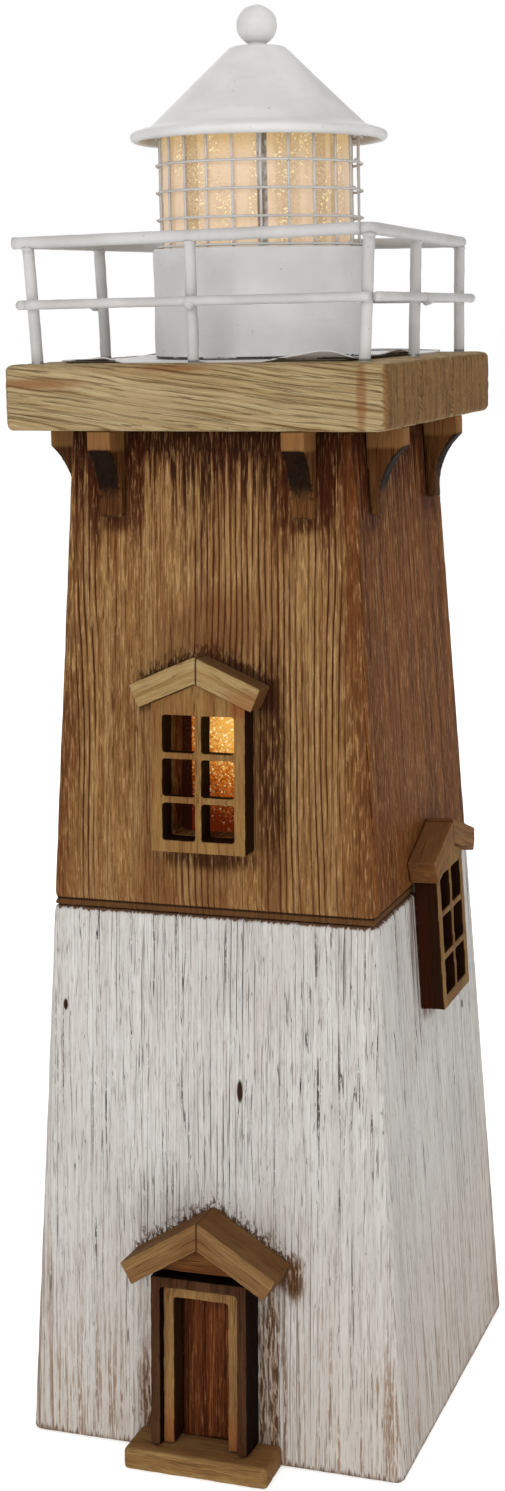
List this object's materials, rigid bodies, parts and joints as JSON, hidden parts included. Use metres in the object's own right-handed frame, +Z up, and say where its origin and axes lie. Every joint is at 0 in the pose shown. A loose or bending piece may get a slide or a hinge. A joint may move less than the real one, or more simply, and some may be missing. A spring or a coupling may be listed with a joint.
{
  "type": "garden lighthouse ornament",
  "caption": "Tapered wooden lighthouse with door, windows, railed gallery and a painted metal lantern whose roof lifts off.",
  "frame": {"origin": "where the tower's axis meets the ground, on the underside of the base board", "axes": "+Z up, +X to the right along the front face, the front with the door faces -Y"},
  "size_m": [0.1825, 0.2004, 0.6609],
  "materials": {
    "whitewashed_wood": "matte",
    "stained_wood": "matte",
    "raw_wood": "matte",
    "slab_wood": "matte",
    "dark_wood": "matte",
    "window_wood": "matte",
    "door_wood": "matte",
    "glitter_film": "glossy",
    "white_metal": "satin",
    "amber_glass": "glossy",
    "white_plastic": "satin",
    "lamp_glass": "glossy",
    "black_plastic": "satin",
    "cell_jacket": "glossy",
    "spring_steel": "satin",
    "lead_jacket": "matte"
  },
  "bodies": {
    "tower": {"base_board": "raw_wood", "battery_case": "black_plastic", "battery_cells": "cell_jacket", "battery_contacts": "spring_steel", "corbel_back_left": "dark_wood", "corbel_back_right": "dark_wood", "corbel_front_left": "dark_wood", "corbel_front_right": "dark_wood", "corbel_left_left": "dark_wood", "corbel_left_right": "dark_wood", "corbel_right_left": "dark_wood", "corbel_right_right": "dark_wood", "corner_battens": "raw_wood", "deck_plate": "white_metal", "door_casing": "door_wood", "door_frame": "door_wood", "door_gable": "door_wood", "door_leaf": "door_wood", "door_tympanum": "door_wood", "doorstep": "door_wood", "drum": "white_metal", "front_window_film": "glitter_film", "front_window_frame": "window_wood", "front_window_gable": "window_wood", "lamp_holder": "white_plastic", "lamp_leads": "lead_jacket", "lantern_glass": "amber_glass", "lantern_lamp": "lamp_glass", "lower_board_back": "whitewashed_wood", "lower_board_front": "whitewashed_wood", "lower_board_left": "whitewashed_wood", "lower_board_right": "whitewashed_wood", "mid_rail_back": "white_metal", "mid_rail_front": "white_metal", "mid_rail_left": "white_metal", "mid_rail_right": "white_metal", "platform_plank_back": "slab_wood", "platform_plank_front": "slab_wood", "platform_plank_middle": "slab_wood", "railing_posts": "white_metal", "right_window_film": "glitter_film", "right_window_frame": "window_wood", "right_window_gable": "window_wood", "small_screws": "spring_steel", "switch_body": "black_plastic", "top_rail_back": "white_metal", "top_rail_front": "white_metal", "top_rail_left": "white_metal", "top_rail_right": "white_metal", "upper_board_back": "stained_wood", "upper_board_front": "stained_wood", "upper_board_left": "stained_wood", "upper_board_right": "stained_wood", "window_lamp": "lamp_glass", "wire_cage": "white_metal", "wood_screws": "spring_steel"},
    "roof": {"roof": "white_metal", "finial_ball": "white_metal"},
    "battery_lid": {"battery_lid": "black_plastic"},
    "switch_knob": {"switch_knob": "black_plastic"}
  },
  "joints": [
    {"name": "roof_lift", "type": "slide", "parent": "tower", "child": "roof", "axis": [0, 0, 1], "range_m": [0, 0.08]},
    {"name": "battery_lid_hinge", "type": "hinge", "parent": "tower", "child": "battery_lid", "pos_m": [0.035, -0.0302, 0.0018], "axis": [-1, 0, 0], "range_deg": [0, 95]},
    {"name": "switch_slide", "type": "slide", "parent": "tower", "child": "switch_knob", "axis": [1, 0, 0], "range_m": [0, 0.004]}
  ]
}
